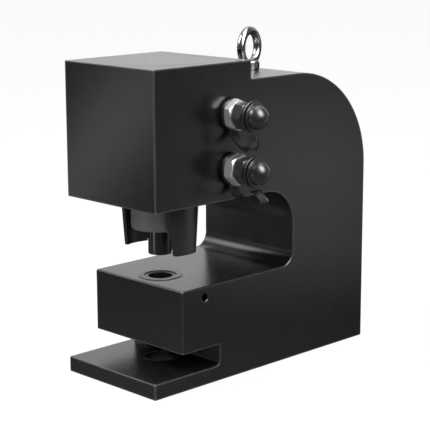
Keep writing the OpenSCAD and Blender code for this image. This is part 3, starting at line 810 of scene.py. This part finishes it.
# %% Hexagons and ports
def hexagon(corners, low, high, turn, chamfer=0.12):
    """A hexagon prism with turned-off corners. Turn is where a corner points, in degrees."""
    radius = corners / 2
    deselect_all()
    bpy.ops.mesh.primitive_cylinder_add(
        vertices=6, radius=radius, depth=high - low, location=(0, 0, (low + high) / 2)
    )
    prism = bpy.context.active_object
    placed(prism, (0, 0, math.radians(turn - 90)), prism.location.copy())
    flat = radius * math.cos(math.pi / 6)
    face_r, outside_r = flat - chamfer * mm, radius + mm
    drop = (radius - flat + chamfer * mm) * math.tan(math.radians(30))
    further_drop = drop + mm * 0.577
    disc = turned(
        "disc",
        [(0, low), (face_r, low), (radius, low + drop), (outside_r, low + further_drop),
         (outside_r, high - further_drop), (radius, high - drop), (face_r, high), (0, high)],
        (), False, 120,
    )
    combine(prism, disc, "INTERSECT")
    return prism


def on_port(piece, level):
    """Lays a piece that stands on Z onto the port at that level, pointing out of the frame."""
    return placed(piece, (0, math.pi / 2, 0), (side_x, port_y, level))

# %% [markdown]
# The distances along a coupler are counted outwards from the face of the frame. They differ for
# the two couplers only by the thickness of the adaptor's hexagon. The hexagons point their corners
# where the photograph shows them, since a screwed hexagon stops at any angle.

# %% Levels along a coupler
washer_t, ring_t, hex_t, neck_t, nose_len = 2 * mm, 2.2 * mm, 10.5 * mm, 3.7 * mm, 8 * mm
adaptor_t = {"upper": 7.2 * mm, "lower": 9.1 * mm}
adaptor_turn = {"upper": 5, "lower": 49}
coupler_turn = {"upper": 35, "lower": 40}
hex_start = washer_t + ring_t
adaptor_corners, coupler_corners = 28.2 * mm, 24.6 * mm
washer_in, washer_out, hoop_out = 8.5 * mm, 12 * mm, 14 * mm
shank_low, oil_r = -13 * mm, 3 * mm
socket_depth, tail_r = 8.2 * mm, 6.6 * mm
neck_r, nose_r, mouth_r, inner_r = 8 * mm, 9.2 * mm, 4.2 * mm, 5.4 * mm


def levels(side):
    """Where the coupler's hexagon, neck and nose start and the nose ends, out from the frame."""
    body = hex_start + adaptor_t[side]
    return body, body + hex_t, body + hex_t + neck_t, body + hex_t + neck_t + nose_len

# %% Washers and adaptors
for side, level in port_levels.items():
    body = levels(side)[0]
    washer = turned(
        side + "_washer_turned",
        [(washer_out, 0), (washer_out, washer_t), (washer_in, washer_t), (washer_in, 0)],
        [(washer_out, 0, 0.3 * mm), (washer_out, washer_t, 0.3 * mm)],
    )
    dress(smoothed(on_port(washer, level)), side + "_port_washer")
    shank_top = hex_start + mm
    shank = turned(
        side + "_adaptor_turned",
        [(port_r, shank_low), (port_r, shank_top), (oil_r, shank_top), (oil_r, shank_low)],
        [(port_r, shank_low, 0.8 * mm)],
    )
    nut_part = hexagon(adaptor_corners, hex_start, body, adaptor_turn[side])
    combine(nut_part, rod(tail_r + fit, body - socket_depth, body + mm), "DIFFERENCE")
    combine(nut_part, rod(oil_r, -mm, body), "DIFFERENCE")
    combine(shank, nut_part, "UNION")
    bevelled(shank, 0.25 * mm, 2)
    dress(smoothed(on_port(shank, level)), side + "_adaptor")

# %% Couplers
for side, level in port_levels.items():
    body, neck, nose, nose_end = levels(side)
    tail, lip = body - socket_depth + fit, nose_end - 2 * mm
    stem = turned(
        side + "_coupler_turned",
        [(tail_r, tail), (tail_r, body + mm), (neck_r, body + mm), (neck_r, nose), (nose_r, nose),
         (nose_r, nose_end), (mouth_r, nose_end), (mouth_r, lip), (inner_r, lip), (inner_r, tail)],
        [(nose_r, nose_end, 0.8 * mm), (nose_r, nose, 0.4 * mm), (mouth_r, nose_end, 0.4 * mm)],
    )
    nut_part = hexagon(coupler_corners, body, neck, coupler_turn[side])
    combine(nut_part, rod(neck_r - mm, body - mm, neck + mm), "DIFFERENCE")
    combine(stem, nut_part, "UNION")
    bevelled(stem, 0.25 * mm, 2)
    dress(smoothed(on_port(stem, level)), side + "_coupler")

# %% [markdown]
# ## The rubber caps
#
# A dust cap is moulded in one piece: a rim that the strap hooks under, a bead that fingers grip,
# and a dome. The outline of the dome is an arc by formula, and the inside is hollow for the nose.

# %% Mould the caps
rim_r, bead_r, dome_r = 13.9 * mm, 12.5 * mm, 10.6 * mm
dome_steps = 16
dome_angles = [math.pi / 2 * i / dome_steps for i in range(dome_steps + 1)]
for side, level in port_levels.items():
    _, _, nose, nose_end = levels(side)
    inside_r, inside_end = nose_r + fit, nose_end + 0.4 * mm
    first = nose + 0.4 * mm
    rim_end, bead, bead_end = first + 2 * mm, first + 3.3 * mm, first + 4.7 * mm
    dome = nose + 5.6 * mm
    arc = [(dome_r * math.cos(a), dome + dome_r * math.sin(a)) for a in dome_angles]
    cap = turned(
        side + "_cap_moulded",
        [(0, inside_end), (inside_r, inside_end), (inside_r, first), (rim_r, first),
         (rim_r, rim_end), (dome_r, rim_end), (dome_r, bead), (bead_r, bead),
         (bead_r, bead_end), (dome_r, bead_end), *arc[:-1], (0, arc[-1][1])],
        [(rim_r, first, 0.6 * mm), (rim_r, rim_end, 0.7 * mm), (bead_r, bead, 0.55 * mm),
         (bead_r, bead_end, 0.55 * mm), (dome_r, bead_end, 0.3 * mm)],
        False,
    )
    dress(smoothed(on_port(cap, level), 50), side + "_dust_cap")

# %% [markdown]
# ## The straps of the caps
#
# Each strap is rubber, moulded with a ring that is held under the adaptor. It hangs in a loop and
# comes up to the rim of the cap from below. A flat curve with a bevel gives it a rounded section at
# once. When the cap is pulled off, the strap stretches after it; here the strap and its ring are
# joined into one mesh that rides on no body.

# %% Mould the straps
bows = {"upper": (20 * mm, 36 * mm, 45 * mm), "lower": (33 * mm, 67 * mm, 33 * mm)}
root, rim_side, rim_depth = (3.1 * mm, -13 * mm), 1.4 * mm, -15.35 * mm
half_width, half_thickness = 4.5 * mm, 1 * mm
for side, level in port_levels.items():
    nose = levels(side)[2]
    near, out, drop = bows[side]
    line = [root, (mm, -near), (out, -drop), (nose + rim_side, rim_depth)]
    deselect_all()
    bpy.ops.curve.primitive_bezier_curve_add(radius=mm)
    strap = bpy.context.active_object
    strap.name = side + "_strap_moulded"
    curve = strap.data
    curve.dimensions = "2D"
    first, last = curve.splines[0].bezier_points
    ends = ((first, line[0], line[0], line[1]), (last, line[3], line[2], line[3]))
    for point, at, left, right in ends:
        point.handle_left_type = point.handle_right_type = "FREE"
        point.co, point.handle_left, point.handle_right = ((*p, 0) for p in (at, left, right))
    curve.resolution_u = 32
    curve.fill_mode = "BOTH"
    curve.extrude = half_width
    curve.bevel_depth = half_thickness
    curve.bevel_resolution = 4
    curve.use_fill_caps = True
    bpy.ops.object.convert(target="MESH")
    placed(strap, (math.pi / 2, 0, 0), (side_x, port_y, level))
    hoop = turned(
        "hoop",
        [(hoop_out, washer_t), (hoop_out, hex_start), (washer_in, hex_start),
         (washer_in, washer_t)],
        [(hoop_out, washer_t, 0.6 * mm), (hoop_out, hex_start, 0.6 * mm)],
    )
    on_port(hoop, level)
    only(strap, hoop)
    bpy.ops.object.join()
    dress(smoothed(strap, 60), side + "_tether", body="blend")
    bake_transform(strap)

# %% [markdown]
# ## The valve springs
#
# Inside each coupler a coil spring pushes the valve shut. One round section is drawn and the Screw
# modifier winds it into a coil, which is how a spring is wound on a mandrel.

# %% Wind the springs
wire, coil_r, spring_len, turns = 0.5 * mm, 4.3 * mm, 11 * mm, 5
for side, level in port_levels.items():
    spring_start = levels(side)[3] - 15.45 * mm
    deselect_all()
    bpy.ops.mesh.primitive_circle_add(
        vertices=12, radius=wire, fill_type="NGON",
        location=(coil_r, 0, spring_start + wire), rotation=(math.pi / 2, 0, 0),
    )
    spring = bpy.context.active_object
    spring.name = side + "_spring_coil"
    bpy.ops.object.transform_apply(location=True, rotation=True, scale=True)
    modified(
        spring, "SCREW", axis="Z", screw_offset=(spring_len - 2 * wire) / turns,
        iterations=turns, steps=32, render_steps=32,
    )
    bpy.ops.object.shade_smooth()
    dress(on_port(spring, level), side + "_valve_spring")

# %% [markdown]
# ## The pieces that keep their own shape
#
# The ram, the seals, the bush, the screws and the valves are plain turned pieces that hardly show,
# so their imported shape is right. They still get their own metal or rubber.

# %% Repaint the inner pieces
kept = ["cap_seal", "gland_bush", "rod_seal", "rod_wiper", "ram", "piston_seal",
        "piston_guide_ring", "die_set_screw", "stripper_screws", "upper_valve", "lower_valve",
        "upper_valve_ring", "lower_valve_ring"]
for node in kept:
    repaint(node)

# %% [markdown]
# ## The studio
#
# To the camera the machine stands on a white sheet in a white room. A black satin block shows
# nothing but reflections, so what it reflects is chosen as in a product studio: the room is bright
# behind the machine and dark elsewhere, the sheet is dark but for five soft patches, and four
# glowing cards put broad light on the front, the right face and the round pieces. Light Path tells
# a mirrored ray from a camera ray, so each sees its own.

# %% Helpers for the studio's light
def faded(tree, value, low, high, start, stop):
    """A smooth ramp: the value low gives start, the value high gives stop."""
    ramp = tree.nodes.new("ShaderNodeMapRange")
    ramp.interpolation_type = "SMOOTHSTEP"
    ends = {"From Min": low, "From Max": high, "To Min": start, "To Max": stop}
    for label, number in ends.items():
        ramp.inputs[label].default_value = number
    tree.links.new(value, ramp.inputs["Value"])
    return ramp.outputs["Result"]


def distance_from(tree, point, stretch=(1, 1, 1)):
    """How far a place is from a point, in metres. Stretch divides the distance along each axis."""
    place = tree.nodes.new("ShaderNodeTexCoord")
    mapping = tree.nodes.new("ShaderNodeMapping")
    mapping.vector_type = "TEXTURE"
    mapping.inputs["Location"].default_value = point
    mapping.inputs["Scale"].default_value = stretch
    length = tree.nodes.new("ShaderNodeVectorMath")
    length.operation = "LENGTH"
    tree.links.new(place.outputs["Object"], mapping.inputs["Vector"])
    tree.links.new(mapping.outputs[0], length.inputs[0])
    return length.outputs["Value"]


def glow(tree, strength):
    """White light. Its strength is a number or a socket."""
    light = tree.nodes.new("ShaderNodeEmission")
    if isinstance(strength, (int, float)):
        light.inputs["Strength"].default_value = strength
    else:
        tree.links.new(strength, light.inputs["Strength"])
    return light.outputs[0]


def matt(tree, grey):
    """A matt grey."""
    shader = tree.nodes.new("ShaderNodeBsdfDiffuse")
    shader.inputs["Color"].default_value = (grey, grey, grey, 1)
    return shader.outputs[0]


def either(tree, factor, no, yes):
    """One shader where the factor is 0, and the other where it is 1."""
    mix = tree.nodes.new("ShaderNodeMixShader")
    for place, value in enumerate((factor, no, yes)):
        tree.links.new(value, mix.inputs[place])
    return mix.outputs[0]


def blank(name):
    """A material with no nodes but its output."""
    material = bpy.data.materials.new(name)
    material.use_nodes = True
    tree = material.node_tree
    tree.nodes.clear()
    return material, tree, tree.nodes.new("ShaderNodeOutputMaterial").inputs["Surface"]

# %% [markdown]
# Each patch on the sheet is a soft spot that only mirrored rays see. It is named after what shows
# it: a vertical face mirrors the sheet, and the higher a place on the face, the further out on the
# sheet is its mirrored spot. So a patch can be laid where one face needs light and no other.

# %% The floor
deselect_all()
bpy.ops.mesh.primitive_plane_add(size=12)
floor = bpy.context.active_object
floor.name = "floor"
floor.location.z = -0.2 * mm
sheet, tree, surface = blank("white_sheet")
rays = tree.nodes.new("ShaderNodeLightPath")
seen = tree.nodes.new("ShaderNodeAddShader")
camera_grey, camera_glow, plain_grey = 0.12, 0.93, 0.35
tree.links.new(matt(tree, camera_grey), seen.inputs[0])
tree.links.new(glow(tree, camera_glow), seen.inputs[1])
round_spot = (1, 1, 1)
# Each row is the centre, the stretch, where the fade starts and ends, and the light there.
spots = {
    "front faces": ((0.1, -0.15, 0), round_spot, 0.05, 0.65, 0.3, 0.02),
    "punch": ((-0.12, -0.62, 0), round_spot, 0.03, 0.15, 6, 0),
    "right face": ((0.33, 0.36, 0), round_spot, 0.02, 0.26, 0.42, 0.02),
    "edges": ((-0.16, -1, 0), (0.2, 0.68, 1), 0.3, 1, 2.4, 0),
    "nut": ((-0.6, -0.36, 0), round_spot, 0.03, 0.14, 1.8, 0),
}
light = 0
for centre, stretch, start, stop, inside, outside in spots.values():
    away = distance_from(tree, centre, stretch)
    light = math_node(tree, "ADD", faded(tree, away, start, stop, inside, outside), light)
mirrored = glow(tree, light)
other = either(tree, rays.outputs["Is Glossy Ray"], matt(tree, plain_grey), mirrored)
tree.links.new(either(tree, rays.outputs["Is Camera Ray"], other, seen.outputs[0]), surface)
floor.data.materials.append(sheet)
floor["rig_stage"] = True
print("the sheet is", round(floor.dimensions.x), "m wide and has", len(spots), "soft patches")

# %% The room
world = bpy.data.worlds.new("white_room")
bpy.context.scene.world = world
world.use_nodes = True
tree = world.node_tree
rays = tree.nodes.new("ShaderNodeLightPath")
way = tree.nodes.new("ShaderNodeTexCoord")
along = tree.nodes.new("ShaderNodeVectorMath")
along.operation = "DOT_PRODUCT"
along.inputs[1].default_value = (0.7, -0.7, 0)
tree.links.new(way.outputs["Generated"], along.inputs[0])
room_light, wall_light, dark_light = 0.25, 1.12, 0.08
mirrored = faded(tree, along.outputs["Value"], -0.95, -0.2, wall_light, dark_light)
straight = math_node(
    tree, "MAXIMUM", rays.outputs["Is Camera Ray"], rays.outputs["Is Transmission Ray"]
)
more = math_node(tree, "SUBTRACT", mirrored, room_light)
by_mirror = math_node(tree, "MULTIPLY", rays.outputs["Is Glossy Ray"], more)
by_camera = math_node(tree, "MULTIPLY", straight, 1 - room_light)
strength = math_node(tree, "ADD", by_camera, by_mirror)
strength = math_node(tree, "ADD", strength, room_light)
background = tree.nodes["Background"]
background.inputs["Color"].default_value = (1, 1, 1, 1)
tree.links.new(strength, background.inputs["Strength"])
print("the room's plain light is", room_light)

# %% The glowing cards
def card(name, at, facing, half, strength, lean=0):
    """A soft card that only mirrored rays see. Half is its half width and half height."""
    deselect_all()
    bpy.ops.mesh.primitive_plane_add(size=2 * max(half))
    sheet_card = bpy.context.active_object
    sheet_card.name = name
    towards = Vector(facing).to_track_quat("Z", "Y").to_matrix().to_4x4()
    leaned = towards @ Matrix.Rotation(math.radians(lean), 4, "Z")
    sheet_card.matrix_world = Matrix.Translation(at) @ leaned
    material, tree, surface = blank(name)
    edge = distance_from(tree, (0, 0, 0), (half[0], half[1], 1))
    clear = tree.nodes.new("ShaderNodeBsdfTransparent")
    light = tree.nodes.new("ShaderNodeAddShader")
    tree.links.new(clear.outputs[0], light.inputs[0])
    tree.links.new(glow(tree, faded(tree, edge, 0, 1, strength, 0)), light.inputs[1])
    tree.links.new(light.outputs[0], surface)
    sheet_card.data.materials.append(material)
    sheet_card.visible_camera = sheet_card.visible_diffuse = sheet_card.visible_shadow = False
    sheet_card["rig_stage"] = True


card("front_card", (-0.325, -0.364, 0.186), (0.7, 0.68, 0.21), (0.06, 0.3), 1.75, 36)
card("right_card", (0.33, 0.42, 0.11), (-0.7, -0.68, 0.21), (0.25, 0.22), 0.8)
card("dome_card", (1.08, 0.04, 1.2), (-0.72, 0.02, -0.69), (0.9, 1.2), 22)
card("high_card", (-0.78, -0.84, 1.2), (0.5, 0.56, -0.66), (0.8, 0.8), 11)
print("four cards glow")

# %% The lamps
def softbox(name, at, towards, size, power):
    """A square area lamp that looks at a point."""
    deselect_all()
    bpy.ops.object.light_add(type="AREA", location=at)
    lamp = bpy.context.active_object
    lamp.name = name
    lamp.data.shape = "RECTANGLE"
    lamp.data.size, lamp.data.size_y = size
    lamp.data.energy = power
    lamp.rotation_euler = (Vector(towards) - Vector(at)).to_track_quat("-Z", "Y").to_euler()
    lamp.visible_camera = False


middle = (0, 0.07, 0.15)
softbox("right_window", (1.08, 0.04, 1.2), middle, (0.6, 0.9), 5)
softbox("front_window", (-0.62, -0.97, 1.28), middle, (0.5, 0.8), 15)
softbox("top_window", (0, 0.3, 1.8), middle, (1.2, 1.2), 16)
print("three lamps light the room")

# %% [markdown]
# ## The camera
#
# The camera stands where the photograph was taken, about 1.3 m off and turned 45 degrees from the
# front. Its place, lens and slight roll come from lining up the edges of the block.

# %% The camera
azimuth, elevation, roll = (math.radians(a) for a in (45.437, 12.138, -0.178))
level = math.cos(elevation)
back = Vector((math.sin(azimuth) * level, -math.cos(azimuth) * level, math.sin(elevation)))
level_right = Vector((math.cos(azimuth), math.sin(azimuth), 0))
level_up = back.cross(level_right)
right = level_right * math.cos(roll) + level_up * math.sin(roll)
up = level_up * math.cos(roll) - level_right * math.sin(roll)
deselect_all()
bpy.ops.object.camera_add()
camera = bpy.context.active_object
camera.data.lens = 116.544
camera.data.sensor_width = 36
camera.data.clip_end = 50
turn = Matrix((right, up, back)).transposed().to_4x4()
camera.matrix_world = Matrix.Translation(Vector((894.154, -811.738, 403.613)) * mm) @ turn
bpy.context.scene.camera = camera
bpy.context.scene.view_settings.view_transform = "Standard"

# %% Measure the dressed machine
low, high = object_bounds()
print("the dressed machine measures", [round(v, 4) for v in high - low], "m")
